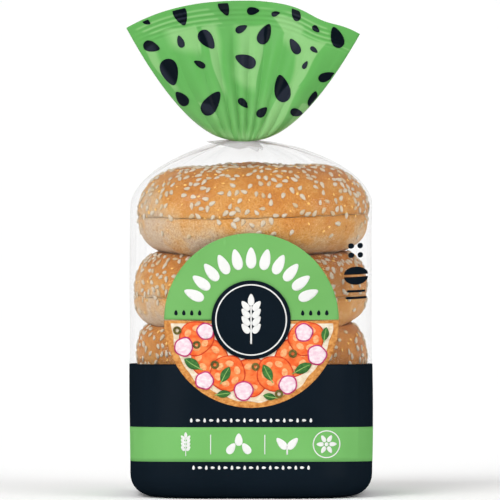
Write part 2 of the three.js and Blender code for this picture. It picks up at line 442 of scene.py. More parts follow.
def make_piece(name, points, faces, materials, attributes=None, face_slots=None):
    """A smooth mesh from points in millimetres, riding on the pack."""
    mesh = bpy.data.meshes.new(name)
    points = np.asarray(points).reshape(-1, 3) * MM
    mesh.from_pydata(points.tolist(), [], [list(map(int, f)) for f in faces])
    for key in materials:
        mesh.materials.append(MATERIALS[key])
    if face_slots is not None:
        mesh.polygons.foreach_set("material_index", np.asarray(face_slots, np.int32))
    for key, values in (attributes or {}).items():
        stored = mesh.attributes.new(key, "FLOAT", "POINT")
        stored.data.foreach_set("value", np.asarray(values, np.float32).ravel())
    mesh.polygons.foreach_set("use_smooth", np.ones(len(mesh.polygons), bool))
    mesh.update()
    piece = put_in_scene(name, mesh)
    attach(piece, BODY)
    return piece


def grid_faces(rows, columns, turned=False, closed=False):
    """Quads of a grid whose columns close into rings, and whose last row may join the first."""
    row, column = np.meshgrid(np.arange(rows if closed else rows - 1), np.arange(columns), indexing="ij")
    above, after = (row + 1) % rows, (column + 1) % columns
    corners = [(row, column), (row, after), (above, after), (above, column)]
    faces = np.stack([(r * columns + c).ravel() for r, c in corners], axis=1)
    return faces[:, ::-1] if turned else faces


def grid_normals(points):
    """Outward normals of a grid of rings that run anticlockwise, row by row upwards."""
    along = np.roll(points, -1, axis=1) - np.roll(points, 1, axis=1)
    up = np.gradient(points, axis=0)
    normal = np.cross(along, up)
    return normal / np.maximum(np.linalg.norm(normal, axis=2, keepdims=True), 1e-9)


def make_shell(name, outer, thickness, material, attributes=None):
    """A thin closed wall: a grid of rings, and the same grid moved inwards and run back."""
    inner = outer - grid_normals(outer) * thickness
    grid = np.concatenate([outer, inner[::-1]])
    faces = grid_faces(*grid.shape[:2], closed=True)
    doubled = {key: np.concatenate([v, v[::-1]]) for key, v in (attributes or {}).items()}
    return make_piece(name, grid, faces, [material], doubled)


# The film's shape below the neck


def oval_radius(turn, half_width, half_depth, squareness):
    across = np.abs(np.cos(turn) / half_width) ** squareness
    along = np.abs(np.sin(turn) / half_depth) ** squareness
    return (across + along) ** (-1 / squareness)


def body_squareness(z):
    return lerp(SQUARENESS_AT_BASE, SQUARENESS_AT_SHOULDER, np.clip(z / SHOULDER_Z, 0, 1))


def shoulder_pleat(turn, share):
    depth = SHOULDER_PLEAT_DEPTH * (1 - smoothstep(share, 0.3, 0.9))
    ripple = 0.5 - 0.5 * np.cos(SHOULDER_PLEATS * turn + 0.7 * np.sin(3 * turn))
    return depth * ripple * np.minimum(1, share / 0.3)


def base_stations(count):
    """Rows of the base, from the middle of the flat underside out to the end of its rounding.

    A row has a height, how far it lies inside the wall, and the share of its full width.
    """
    flat = [(0.0, BASE_ROUNDING, share) for share in np.linspace(0.02, 1, count, endpoint=False)]
    curve = [
        (BASE_ROUNDING * (1 - math.cos(t)), BASE_ROUNDING * (1 - math.sin(t)), 1.0)
        for t in np.linspace(0, math.pi / 2, count, endpoint=False)
    ]
    return flat + curve


def wall_stations(low, high, count):
    return [(z, 0.0, 1.0) for z in np.linspace(low, high, count)]


def station_rings(stations):
    turn = turns(FILM_COLUMNS)
    rings = []
    for z, inset, share in stations:
        full = oval_radius(turn, HALF_WIDTH - inset, HALF_DEPTH - inset, body_squareness(z))
        rings.append(ring_points(turn, share * full, z))
    return np.array(rings)


def dome_rings(count):
    """Rings of the shoulders, and for each the share of the full width that it has."""
    turn = turns(FILM_COLUMNS)
    last_tilt = math.acos(DOME_LAST_SHARE ** (DOME_FULLNESS / 2))
    rings, shares = [], []
    for tilt in np.linspace(0, last_tilt, count + 1)[1:]:
        share = math.cos(tilt) ** (2 / DOME_FULLNESS)
        z = SHOULDER_Z + DOME_HEIGHT * math.sin(tilt) ** (2 / DOME_FULLNESS)
        squareness = lerp(2, SQUARENESS_AT_SHOULDER, smoothstep(share, 0.2, 1))
        full = oval_radius(turn, HALF_WIDTH, HALF_DEPTH, squareness)
        shift = NECK_X * (1 - smoothstep(share, 0.15, 0.45))
        rings.append(ring_points(turn, full * share - shoulder_pleat(turn, share), z, shift))
        shares.append(share)
    return np.array(rings), shares


def neck_rings(count):
    turn = turns(FILM_COLUMNS)
    rings = []
    for share in np.linspace(0, 1, count + 1)[1:]:
        ripple = 0.35 * np.cos(SHOULDER_PLEATS * turn) * (1 - share)
        radius = NECK_RADIUS - 0.3 + 1.5 * (1 - share) ** 2 + ripple
        z = lerp(SHOULDER_Z + DOME_HEIGHT - 0.2, NECK_Z + 0.6, share)
        rings.append(ring_points(turn, radius, z, NECK_X))
    return np.array(rings)


def corner_folds(turn, z):
    """Long upright ridges left by the bag's side gussets, one pair at each corner."""
    to_side = np.abs(np.arctan2(np.sin(turn), np.abs(np.cos(turn))))
    height = 0
    for at, size in CORNER_FOLDS:
        distance = (to_side - math.radians(at)) * HALF_WIDTH * 1.1
        height = height + size * np.exp(-((distance / FOLD_WIDTH) ** 2))
    return height * hump(z, 4, 26, SHOULDER_Z - 6, SHOULDER_Z + 16)


def wall_relief(turn, z):
    """How far the standing film lies off its plain oval: folds and slow unevenness."""
    slow = 0.28 * np.sin(3 * turn + 0.045 * z + 1.0) + 0.2 * np.sin(7 * turn - 0.07 * z)
    return corner_folds(turn, z) + slow * smoothstep(z, 2, 20)


class Creases:
    """Sharp random creases that run up the shoulder to the neck."""

    def __init__(self, count, seed):
        dice = random.Random(seed)
        self.rows = [
            (
                dice.uniform(-math.pi, math.pi),
                dice.uniform(-0.5, 0.5),
                dice.uniform(0.12, 0.35),
                dice.uniform(0.45, 1.0),
                dice.uniform(0.7, 1.6),
                dice.uniform(-0.55, 0.75),
            )
            for _ in range(count)
        ]

    def relief(self, turn, share, radius):
        total = np.zeros_like(radius)
        for at, lean, inner, outer, width, height in self.rows:
            away = np.angle(np.exp(1j * (turn - at - lean * (share - inner))))
            window = hump(share, inner - 0.08, inner, outer - 0.3, outer)
            total += height * window * np.exp(-((away * radius / width) ** 2))
        return total


def let_sag(rings, share):
    """Lowers rings of the standing film towards the back, where the print lies deeper.

    The points stay on the film, whose outline changes a little with its height.
    """
    x, y, z = rings[..., 0], rings[..., 1], rings[..., 2]
    lowered = z - share * PRINT_SLOPE * (y + HALF_DEPTH)
    turn = turn_of(rings)
    before = oval_radius(turn, HALF_WIDTH, HALF_DEPTH, body_squareness(z))
    after = oval_radius(turn, HALF_WIDTH, HALF_DEPTH, body_squareness(lowered))
    return np.stack([x * after / before, y * after / before, lowered], axis=-1)


def turn_of(points):
    return np.arctan2(points[..., 1], points[..., 0])


def make_window():
    """The clear film, from just under the print's edge to the neck."""
    wall = station_rings(wall_stations(NAVY_TOP_Z - 1, SHOULDER_Z, 22))
    wall = let_sag(wall, 1 - smoothstep(wall[:, :, 2], NAVY_TOP_Z - 1, SHOULDER_Z))
    dome, dome_shares = dome_rings(64)
    neck = neck_rings(6)
    grid = np.concatenate([wall, dome, neck])
    neck_share = DOME_LAST_SHARE * 0.9
    share = np.concatenate([np.ones(len(wall)), dome_shares, np.full(len(neck), neck_share)])
    share = np.repeat(share[:, None], FILM_COLUMNS, axis=1)
    turn = turn_of(grid)
    creases = Creases(70, seed=5).relief(turn, share, np.hypot(grid[:, :, 0], grid[:, :, 1]))
    creases[-len(neck):] = 0
    relief = wall_relief(turn, grid[:, :, 2]) * smoothstep(share, 0.4, 0.95) + creases
    grid = grid + grid_normals(grid) * relief[:, :, None]
    streaks = 0.5 + 0.5 * np.sin(9 * turn + 2 * np.sin(2 * turn))
    near_neck = 1 - smoothstep(share, 0.15, 0.3)
    gather = 0.16 * near_neck + 0.08 * streaks**3 * (1 - smoothstep(share, 0.2, 0.8))
    piece = make_shell("film_window", grid, FILM, "film", {"gather": gather})
    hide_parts("bag")


def make_gathered():
    """The bunched film just under the fan: a short uneven skirt, with a longer flap on its left."""
    dice = random.Random(21)
    turn = turns(220)
    knots = np.linspace(0, 2 * math.pi, 15)
    reach = [dice.uniform(0, 3.2) for _ in knots[:-1]]
    fall = [dice.uniform(-1.0, 1.2) for _ in knots[:-1]]
    reach, fall = (np.interp(turn, knots, v + v[:1]) for v in (reach, fall))
    to_left = 0.5 - 0.5 * np.cos(turn)
    grid = []
    for share in np.linspace(0, 1, 14):
        radius = lerp(NECK_RADIUS - 0.6, 7.5 + 8.0 * to_left**2, share) + reach * share
        drop = lerp(0.4, lerp(4.6 + fall, 1.3, to_left**4), share**1.3)
        grid.append(ring_points(turn, radius, NECK_Z - drop, NECK_X))
    grid = np.array(grid)[::-1]
    gather = np.full(grid.shape[:2], 0.16)
    make_shell("film_gathered", grid, FILM, "film", {"gather": gather})


def lift_off(grid, lift):
    """Moves the film's plain rings out to its relief and a lift more."""
    relief = wall_relief(turn_of(grid), grid[:, :, 2]) + lift
    return grid + grid_normals(grid) * relief[:, :, None]


def make_base():
    """The navy printed film: the underside, the rounding and the lower wall."""
    grid = station_rings(base_stations(8) + wall_stations(BASE_ROUNDING, NAVY_TOP_Z, 30))
    grid = let_sag(grid, smoothstep(grid[:, :, 2], BASE_ROUNDING, NAVY_TOP_Z))
    grid = lift_off(grid, INK_STEP * smoothstep(grid[:, :, 2], 1, 8))
    grid[:, :, 2] = np.maximum(grid[:, :, 2], 0)
    make_shell("film_base", grid, INK_STEP * 0.8, "navy")


def make_band():
    grid = let_sag(station_rings(wall_stations(BAND_LOW_Z, BAND_HIGH_Z, 9)), 1)
    grid = lift_off(grid, 2 * INK_STEP)
    make_shell("print_band", grid, INK_STEP * 0.7, "band")


# The fan above the neck


def fan_top_z(place):
    """Height of the sealed edge: an even sag on the left, a step down on the right."""
    left = np.abs(place) ** 2.5
    right = np.abs(place) ** 2.1 + 0.15 * np.exp(-(((place - 0.68) / 0.17) ** 2))
    return np.where(place < 0, lerp(FAN_TOP_Z, FAN_LEFT_Z, left), lerp(FAN_TOP_Z, FAN_RIGHT_Z, right))


def fan_half_width(place, rise):
    reach = np.where(place < 0, FAN_LEFT, FAN_RIGHT)
    return lerp(FAN_START, reach, rise**FAN_SPREAD)


def fan_wave(place, rise):
    return FAN_WAVE * rise * np.sin(4.6 * place + 0.9) * (1 - 0.3 * place * place)


def fan_half_gap(place, rise):
    roundness = np.sqrt(np.maximum(0, 1 - place * place))
    bowl = lerp(NECK_RADIUS, FAN_BOWL, smoothstep(rise, 0, 0.06)) * (1 - smoothstep(rise, 0.02, 0.6))
    bulge = FAN_BULGE * hump(rise, 0.1, 0.4, 0.5, SEAL_START)
    seal = (SEAL_THICKNESS / 2) * smoothstep(rise, 0, 0.1) * np.minimum(1, 3 * roundness)
    return (bowl + bulge) * roundness + seal


def fan_pleat(place, rise, side):
    depth = FAN_PLEAT_DEPTH * hump(rise, 0, 0.15, 0.55, SEAL_START)
    phase = np.where(side > 0, 0.4, 2.1)
    swing = FAN_PLEATS * math.pi * (place + 0.12 * np.sin(3 * place)) / 2 + phase
    return depth * np.abs(np.sin(swing)) * np.sqrt(np.maximum(0, 1 - place * place))


def fan_droop(place, rise):
    return FAN_DROOP * (1 - place * place) * hump(rise, 0, 0.035, 0.035, 0.3)


class FanCreases:
    """Flat-sided folds in the fan, in tiers that run up from the neck, and ridges along the seal."""

    def __init__(self, tiers, seed):
        dice = random.Random(seed)
        self.rows = []
        for sheet in (-1, 1):
            for count, start, end, height in tiers:
                steps = np.array([0.0] + [dice.uniform(0.5, 1.6) for _ in range(count)]).cumsum()
                knots = steps / steps[-1] * 2.4 - 1.2
                heights = [(i % 2) * height * dice.uniform(0.6, 1.2) for i in range(count + 1)]
                self.rows.append((sheet, start, end, dice.uniform(-0.12, 0.12), knots, heights))

    def relief(self, place, rise, side):
        seal = hump(rise, 0.8, 0.835, 0.93, 0.955)
        total = 0.2 * np.cos(2 * math.pi * (rise - 0.835) / SEAL_RIB_STEP) * seal
        for sheet, start, end, lean, knots, heights in self.rows:
            fold = np.interp(place + lean * (rise - 0.5), knots, heights)
            window = hump(rise, start, start + 0.12, end - 0.12, end)
            total = total + np.where(side == sheet, fold * window, 0)
        return total * np.minimum(1, 5 * (1 - np.abs(place)))


# Each tier: how many flat sides across, where it starts and ends as rise, and its height.
FAN_TIERS = [(12, 0.0, 0.3, 0.25), (8, 0.08, 0.62, 0.8), (6, 0.35, 0.86, 1.0)]
FAN_CREASES = FanCreases(FAN_TIERS, seed=11)

# Painted highlights on the fan's facets, as seen from the front. Each has its lowest and highest
# rise, the places of its left and right edge at both ends, and how far each of the two edges is
# blurred.
LIT_FACETS = [
    {"rise": (0.38, 0.83), "left": (-0.12, -0.06), "right": (0.17, 0.21), "blur": (0.07, 0.006)},
    {"rise": (0.24, 0.83), "left": (-0.30, -0.40), "right": (-0.27, -0.25), "blur": (0.008, 0.04)},
    {"rise": (0.55, 0.86), "left": (-0.74, -0.72), "right": (-0.46, -0.44), "blur": (0.06, 0.008)},
    {"rise": (0.20, 0.78), "left": (-0.90, -0.96), "right": (-0.85, -0.88), "blur": (0.008, 0.03)},
    {"rise": (0.08, 0.28), "left": (-0.60, -0.70), "right": (-0.38, -0.54), "blur": (0.015, 0.008)},
    {"rise": (0.28, 0.84), "left": (0.62, 0.52), "right": (0.65, 0.77), "blur": (0.03, 0.008)},
    {"rise": (0.04, 0.46), "left": (0.34, 0.58), "right": (0.76, 0.70), "blur": (0.008, 0.02)},
    {"rise": (0.02, 0.30), "left": (0.90, 0.88), "right": (1.20, 1.00), "blur": (0.02, 0.02)},
    {"rise": (0.78, 0.90), "left": (0.40, 0.24), "right": (0.56, 0.54), "blur": (0.01, 0.02)},
]


def fan_lit(place, rise, side):
    """How much painted highlight each point of the fan gets, from 0 to 1."""
    seen = -side * place
    across = seen + 0.012 * np.sin(17 * rise + 3 * seen)
    up = rise + 0.018 * np.sin(11 * seen + 1)
    total = np.zeros_like(across)
    for facet in LIT_FACETS:
        low, high = facet["rise"]
        share = np.clip((up - low) / (high - low), 0, 1)
        left, right = lerp(*facet["left"], share), lerp(*facet["right"], share)
        soft_left, soft_right = facet["blur"]
        inside = hump(across, left - soft_left, left + soft_left, right - soft_right, right + soft_right)
        inside = inside * smoothstep(up + 0.2 * across, low - 0.03, low + 0.07)
        inside = inside * (1 - smoothstep(up, high - 0.01, high + 0.015))
        total = np.maximum(total, inside)
    # Painted highlights along the seal's ribs, and painted streaks and a painted glow near the neck.
    ribs = smoothstep(np.cos(2 * math.pi * (rise - 0.84) / SEAL_RIB_STEP), 0.1, 0.6)
    ribs = ribs * hump(rise, 0.8, 0.83, 0.95, 0.965)
    broken = smoothstep(np.sin(5.5 * seen + 12 * rise) + 0.6 * np.sin(13 * seen), 0.0, 0.35)
    streaks = smoothstep(np.sin(13 * seen + 1) + 0.6 * np.sin(31 * seen), -0.5, -0.2)
    rim = streaks * (1 - smoothstep(rise, 0.03, 0.13))
    painted_low_glow = 0.35 * (1 - smoothstep(rise, 0.1, 0.5))
    return np.clip(np.maximum(total, np.maximum(0.8 * ribs * broken, rim)) + painted_low_glow, 0, 1)


def fan_bare(place, rise, side):
    x = NECK_X + place * fan_half_width(place, rise)
    z = lerp(NECK_Z, fan_top_z(place), rise) - fan_droop(place, rise)
    out = fan_half_gap(place, rise) + fan_pleat(place, rise, side) + FAN_CREASES.relief(place, rise, side)
    return np.stack([x, fan_wave(place, rise) + side * out, z], axis=-1)


def fan_sheet(place, rise, side, lift):
    """Points on one sheet of the fan, moved outwards by a lift."""
    step = 0.004
    point = fan_bare(place, rise, side)
    left, right = (fan_bare(np.clip(place + s, -1, 1), rise, side) for s in (-step, step))
    up = fan_bare(place, rise + step, side) - fan_bare(place, np.maximum(rise - step, 0), side)
    normal = np.cross(right - left, up) * -np.asarray(side)[..., None]
    normal /= np.maximum(np.linalg.norm(normal, axis=-1, keepdims=True), 1e-9)
    return point + normal * lift


def make_fan():
    """The green printed top: both sheets in one skin, closed at the neck and along the seal."""
    columns, rows = 480, 150
    turn = turns(columns)
    side = np.where(turn <= math.pi, 1.0, -1.0)
    turn = np.where(turn <= math.pi, turn, 2 * math.pi - turn)
    grid, lit = [], []
    for rise in np.linspace(0, 1, rows) ** 1.15:
        place = lerp(np.cos(turn), 1 - 2 * turn / math.pi, smoothstep(rise, 0, 0.3))
        grid.append(fan_bare(place, np.full(columns, rise), side))
        # Painted highlights, fixed on the fan as the lit attribute.
        lit.append(fan_lit(place, np.full(columns, rise), side))
    faces = [list(f) for f in grid_faces(rows, columns)]
    for row, turned in ((0, True), (rows - 1, False)):
        for i in range(columns // 2):
            strip = [row * columns + c % columns for c in (i, i + 1, -i - 1, -i)]
            strip = list(dict.fromkeys(strip))
            faces.append(strip[::-1] if turned else strip)
    make_piece("film_fan", grid, faces, ["fan_green"], {"lit": np.array(lit)})


# Flat shapes and how they are laid on the film


def arc_points(cx, cz, radius, start, end, count, radius_z=None):
    """Points along an arc; angles in degrees, anticlockwise from +X."""
    radius_z = radius_z or radius
    angles = np.radians(np.linspace(start, end, count))
    return [(cx + radius * math.cos(a), cz + radius_z * math.sin(a)) for a in angles]


def off(x, z, reach, turn):
    """The point at a reach from another, at a turn in degrees from +X."""
    angle = math.radians(turn)
    return x + reach * math.cos(angle), z + reach * math.sin(angle)


def laid(shape, cx, cz, turn):
    """A shape moved to a place, with its long axis at a turn in degrees from +X."""
    c, s = math.cos(math.radians(turn)), math.sin(math.radians(turn))
    return [(cx + along * c - across * s, cz + along * s + across * c) for along, across in shape]


def circle(cx, cz, radius, count=40):
    return arc_points(cx, cz, radius, 0, 360, count + 1)[:-1]


def pip(cx, cz, length, width, turn, count=22, point=0.3):
    """An egg shape, narrower at one end."""
    shape = []
    for t in np.linspace(0, 2 * math.pi, count, endpoint=False):
        across = math.sin(t) * width / 2 * (1 - point * math.cos(t))
        shape.append((math.cos(t) * length / 2, across))
    return laid(shape, cx, cz, turn)


def bar(cx, cz, length, height, count=8):
    """A bar with round ends."""
    half = max(length / 2 - height / 2, 0)
    right = arc_points(cx + half, cz, height / 2, -90, 90, count)
    left = arc_points(cx - half, cz, height / 2, 90, 270, count)
    return right + left


def upright(cx, cz, width, height):
    """A rectangle."""
    left, right, low, high = cx - width / 2, cx + width / 2, cz - height / 2, cz + height / 2
    return [(left, low), (right, low), (right, high), (left, high)]


def stroke(path, width_start, width_end):
    """A tapering line along a path of points."""
    path = np.array(path, float)
    along = np.gradient(path, axis=0)
    along /= np.maximum(np.linalg.norm(along, axis=1, keepdims=True), 1e-9)
    across = np.stack([-along[:, 1], along[:, 0]], axis=1)
    half = np.linspace(width_start, width_end, len(path))[:, None] / 2
    return [tuple(p) for p in np.concatenate([path + across * half, (path - across * half)[::-1]])]


def flat_mesh(outlines, cell):
    """Outlines filled and cut into cells, as points, faces and the edges of their rims.

    Each outline is a list of loops: its edge, then its holes.
    """
    bm = bmesh.new()
    for loops in outlines:
        edges = []
        for loop in loops:
            corners = [bm.verts.new((x, 0, z)) for x, z in loop]
            edges += [bm.edges.new((corners[i], corners[i - 1])) for i in range(len(corners))]
        bmesh.ops.triangle_fill(bm, use_beauty=True, use_dissolve=False, edges=edges)
    spans = [[v.co.x for v in bm.verts], [v.co.z for v in bm.verts]]
    for values, size, direction in zip(spans, cell, (Vector((1, 0, 0)), Vector((0, 0, 1)))):
        for step in range(math.ceil(min(values) / size), math.floor(max(values) / size) + 1):
            centre = direction * (step * size + 1e-4)
            geometry = bm.verts[:] + bm.edges[:] + bm.faces[:]
            bmesh.ops.bisect_plane(bm, geom=geometry, dist=1e-5, plane_co=centre, plane_no=direction)
    bm.verts.index_update()
    points = np.array([(v.co.x, v.co.z) for v in bm.verts])
    faces = [[v.index for v in f.verts] for f in bm.faces]
    rims = [[v.index for v in e.verts] for e in bm.edges if len(e.link_faces) == 1]
    bm.free()
    return points, faces, rims


def make_print(name, outlines, layer, material, surface, cell, lit=None):
    """Ink in the shape of the outlines, laid on a surface as thin closed solids.

    The layer is its height in steps of ink. A function for lit says how much painted highlight each place
    gets.
    """
    points, faces, rims = flat_mesh(outlines, cell)
    top = surface(points[:, 0], points[:, 1], layer * INK_STEP)
    bottom = surface(points[:, 0], points[:, 1], (layer - 0.7) * INK_STEP)
    size = len(points)
    all_faces = faces + [[i + size for i in f[::-1]] for f in faces]
    all_faces += [[a, b, b + size, a + size] for a, b in rims]
    attributes = {"lit": np.tile(lit(points[:, 0], points[:, 1]), 2)} if lit else None
    piece = make_piece(name, np.concatenate([top, bottom]), all_faces, [material], attributes)
    bm = bmesh.new()
    bm.from_mesh(piece.data)
    bmesh.ops.recalc_face_normals(bm, faces=bm.faces[:])
    bm.to_mesh(piece.data)
    bm.free()
    for polygon in piece.data.polygons:
        on_top = [i < size for i in polygon.vertices]
        polygon.use_smooth = all(on_top) or not any(on_top)


def on_front(x, z, lift):
    """The standing film's front at a place and height."""
    squareness = body_squareness(z)
    share = np.abs(x / HALF_WIDTH)
    y = -HALF_DEPTH * np.maximum(1 - share**squareness, 1e-6) ** (1 / squareness)
    normal = np.stack(
        [
            np.sign(x) * share ** (squareness - 1) / HALF_WIDTH,
            -(np.abs(y / HALF_DEPTH) ** (squareness - 1)) / HALF_DEPTH,
            np.zeros_like(x),
        ],
        axis=1,
    )
    normal /= np.linalg.norm(normal, axis=1, keepdims=True)
    relief = wall_relief(np.arctan2(y, x), z) + lift
    return np.stack([x, y, z], axis=1) + normal * relief[:, None]


def fan_place(x, z):
    """Where on the fan, as place and rise, a point seen from the front lies."""
    rise = np.clip((z - NECK_Z) / (FAN_TOP_Z - NECK_Z), 0.05, 1)
    for _ in range(40):
        place = np.clip((x - NECK_X) / fan_half_width(x - NECK_X, rise), -1, 1)
        aim = (z + fan_droop(place, rise) - NECK_Z) / (fan_top_z(place) - NECK_Z)
        rise = np.clip(0.5 * rise + 0.5 * aim, 0.02, 1)
    return place, rise


def on_fan(side):
    def surface(x, z, lift):
        place, rise = fan_place(x, z)
        return fan_sheet(place, rise, np.full(len(x), float(side)), lift)

    return surface


# Print on the front


def ring_of(cx, cz, outer, inner, count=72):
    return [circle(cx, cz, outer, count), circle(cx, cz, inner, count)]


def wheat_ear(cx, cz, height):
    """A stem with pairs of grains and one at the tip, as separate outlines."""
    grain, width = height * 0.24, height * 0.13
    shapes = [[stroke([(cx, cz - height / 2), (cx, cz + height * 0.3)], height * 0.035, height * 0.03)]]
    for i in range(4):
        z = cz - height * 0.18 + i * height * 0.155
        for side in (-1, 1):
            shapes.append([pip(cx + side * height * 0.115, z, grain, width, 90 - side * 38)])
    shapes.append([pip(cx, cz + height * 0.41, grain, width, 90)])
    return shapes


def put_on_front(name, outlines, layer, ink, cell=(0.9, 2.0)):
    make_print(name, outlines, layer, ink, on_front, cell)


def make_label():
    """The round label: green above, toast below, and the emblem over both."""
    upper = arc_points(0, DISC_Z, DISC_RADIUS, 0.3, 179.7, 90)
    put_on_front("print_disc_green", [[upper]], 2, "green", DISC_CELL)
    lower = arc_points(0, DISC_Z, DISC_RADIUS, 180.3, 359.7, 90)
    put_on_front("picture_toast", [[lower]], 2, "toast", DISC_CELL)
    emblem_z = DISC_Z + 0.3
    emblem = circle(0, emblem_z, EMBLEM_RADIUS, 72)
    put_on_front("print_emblem", [[emblem]], 15, "navy", DISC_CELL)
    grains = [[pip(*off(0, DISC_Z, 28.3, turn), 9.6, 4.6, turn)] for turn in np.linspace(24, 156, 11)]
    put_on_front("print_grains", grains, 3, "white")
    marks = []
    for side in (-1, 1):
        for k in range(4):
            marks.append([pip(side * (23.3 + 3.6 * k), DISC_Z + 3.4, 2.4, 1.5, 90)])
    put_on_front("print_label_marks", marks, 3, "navy")
    ear = wheat_ear(0, DISC_Z + 0.4, 22)
    ear.append(ring_of(0, emblem_z, EMBLEM_RADIUS - 1.7, EMBLEM_RADIUS - 2.3))
    put_on_front("print_emblem_ear", ear, 16, "white")


def wobbly_half(radius, wobble, seed, drop=0.5):
    """The lower half of a disc with an uneven edge, a little below the label's split."""
    dice = random.Random(seed)
    phases = [(dice.uniform(0, 6.28), n) for n in (5, 9, 14, 23)]
    shape = []
    for t in np.radians(np.linspace(181.5, 358.5, 110)):
        r = radius + wobble * sum(math.sin(n * t + p) for p, n in phases) / 2
        shape.append((r * math.cos(t), DISC_Z - drop + r * math.sin(t)))
    return shape


def wobbly_circle(cx, cz, radius, seed, count=44):
    """A round slice with a slightly uneven edge."""
    dice = random.Random(seed)
    phases = [(dice.uniform(0, 6.28), n, dice.uniform(0.01, 0.035)) for n in (2, 3, 5)]
    shape = []
    for t in np.linspace(0, 2 * math.pi, count, endpoint=False):
        r = radius * (1 + sum(a * math.sin(n * t + p) for p, n, a in phases))
        shape.append((cx + r * math.cos(t), cz + r * math.sin(t)))
    return shape


def below_split(shape):
    """Keeps an outline under the line that splits the round label."""
    limit = DISC_Z - 0.35
    return [(x, min(z, limit)) for x, z in shape]


def leaf(cx, cz, length, width, turn):
    """A pointed leaf and its midrib."""
    half = [width / 2 * math.sin(math.pi * k / 12) ** 0.8 for k in range(13)]
    edge = [(length * (k / 12 - 0.5), half[k]) for k in range(13)]
    back = [(length * (0.5 - k / 12), -half[k]) for k in range(1, 12)]
    rib = [(-length * 0.62, 0), (0, length * 0.02), (length * 0.4, 0)]
    return laid(edge + back, cx, cz, turn), stroke(laid(rib, cx, cz, turn), 0.5, 0.2)


def add_topping(ink, name, outlines, layer):
    """One layer of the food picture."""
    put_on_front(f"picture_{name}", outlines, layer, ink, TOPPING_CELL)


# The slice's toppings, in millimetres from the label's middle. A tomato has its turn in degrees,
# its reach and its radius; a radish and an olive their place and radius; and a leaf its place,
# length, width and turn.
TOPPING_CELL = (1.2, 4.0)
TOMATOES = [
    (198, 26.0, 8.0), (222, 25.5, 8.6), (246, 26.2, 8.2), (270, 25.6, 8.8),
    (294, 26.2, 8.2), (318, 25.5, 8.6), (342, 26.0, 8.0),
]
RADISHES = [
    (-30.4, -12.0, 4.4), (-21.0, -27.2, 4.2), (-3.4, -31.8, 4.5), (16.6, -29.0, 4.3),
    (29.6, -15.6, 4.5), (-20.6, -4.9, 4.0), (23.8, -5.4, 4.2),
]
LEAVES = [
    (-26.6, -19.6, 8.5, 4.6, 148), (-11.6, -24.4, 8.0, 4.2, 62), (7.4, -23.6, 8.4, 4.4, 118),
    (23.4, -21.6, 8.6, 4.6, 28), (33.2, -6.2, 6.4, 3.4, 80), (-12.4, -33.2, 6.6, 3.4, 8),
    (8.4, -34.4, 6.0, 3.2, 170),
]
OLIVES = [
    (-33.4, -4.6, 1.9), (-16.4, -20.0, 1.9), (2.0, -20.9, 1.8),
    (12.6, -33.2, 1.9), (18.8, -15.0, 1.9), (-24.6, -11.0, 1.8),
]


def add_tomatoes(group, layer):
    skins, flesh, chambers = [], [], []
    for turn, reach, radius in group:
        x, z = off(0, DISC_Z, reach, turn)
        skins.append([below_split(wobbly_circle(x, z, radius, turn))])
        flesh.append([below_split(wobbly_circle(x, z, radius - 0.5, turn))])
        for k in range(6):
            towards = turn + 60 * k + 12
            inside_x, inside_z = off(x, z, radius * 0.56, towards)
            if inside_z < DISC_Z - 2.6:
                length, width = radius * 0.46, radius * 0.34
                chambers.append([pip(inside_x, inside_z, length, width, towards + 90, point=0.05)])
    add_topping("tomato_skin", f"tomato_skin_{layer}", skins, layer)
    add_topping("tomato", f"tomato_{layer}", flesh, layer + 1)
    add_topping("tomato_light", f"tomato_inside_{layer}", chambers, layer + 2)


def make_picture():
    """The food picture on the label's lower half: a topped slice, built from layers of shapes."""
    add_topping("cream", "cream", [[wobbly_half(36.3, 0.5, 3)]], 3)
    add_tomatoes(TOMATOES[1::2], 4)
    add_tomatoes(TOMATOES[0::2], 7)
    for name, rim, layer in (("radish_edge", 0, 10), ("radish", 0.62, 11)):
        discs = []
        for i, (x, down, radius) in enumerate(RADISHES):
            discs.append([below_split(wobbly_circle(x, DISC_Z + down, radius - rim, i + 20))])
        add_topping(name, name, discs, layer)
    blades, ribs = zip(*[leaf(x, DISC_Z + down, *shape) for x, down, *shape in LEAVES])
    add_topping("leaf", "leaves", [[blade] for blade in blades], 12)
    add_topping("leaf_light", "leaf_ribs", [[rib] for rib in ribs], 13)
    rings = [ring_of(x, DISC_Z + down, radius, radius * 0.42, 28) for x, down, radius in OLIVES]
    add_topping("olive", "olives", rings, 14)


# Rows of small grains above and below the band, as their height and half length, then the places
# of the icons on the band and of the tab beside the label.
GRAIN_ROWS = [(35.6, 27), (14.2, 26)]
GRAINS_IN_ROW = 19
EAR_X = -29.5
TREFOIL_X = -5.6
SPROUT_X = 16.3
BADGE_X = 34.2
RULES_X = (-18.3, 6.2)
TAB_X = 47.4
TAB_Z = 100.6


def make_front_marks():
    """Plain marks where the pack has small print: grain rows, icons and thin rules."""
    shapes = []
    for z, half in GRAIN_ROWS:
        for i in range(GRAINS_IN_ROW):
            x = lerp(-half, half, i / (GRAINS_IN_ROW - 1))
            shapes.append([pip(x, z, 1.9, 1.15, 0 if i % 2 else 90)])
    middle = (BAND_LOW_Z + BAND_HIGH_Z) / 2
    shapes += wheat_ear(EAR_X, middle, 10.5)
    for right, up, turn in ((-3.4, -1.8, 55), (0, 2.2, 90), (3.4, -1.8, 125)):
        shapes.append([pip(TREFOIL_X + right, middle + up, 5.6, 3.4, turn)])
    for side in (-1, 1):
        shapes.append([pip(SPROUT_X + side * 2.5, middle + 0.4, 6.6, 3.3, 90 - side * 42)])
    shapes.append([stroke([(SPROUT_X, middle - 4.6), (SPROUT_X, middle - 0.6)], 0.8, 0.6)])
    for x in RULES_X:
        shapes += [[bar(x, middle, 0.5, 0.5)], [upright(x, middle, 0.4, 8.8)]]
    shapes.append(ring_of(BADGE_X, middle, 6.3, 5.8))
    for turn in range(0, 360, 60):
        shapes.append([pip(*off(BADGE_X, middle, 2.9, turn), 3.4, 1.9, turn)])
    shapes.append([circle(BADGE_X, middle, 0.9, 16)])
    put_on_front("print_white_marks", shapes, 3, "white")


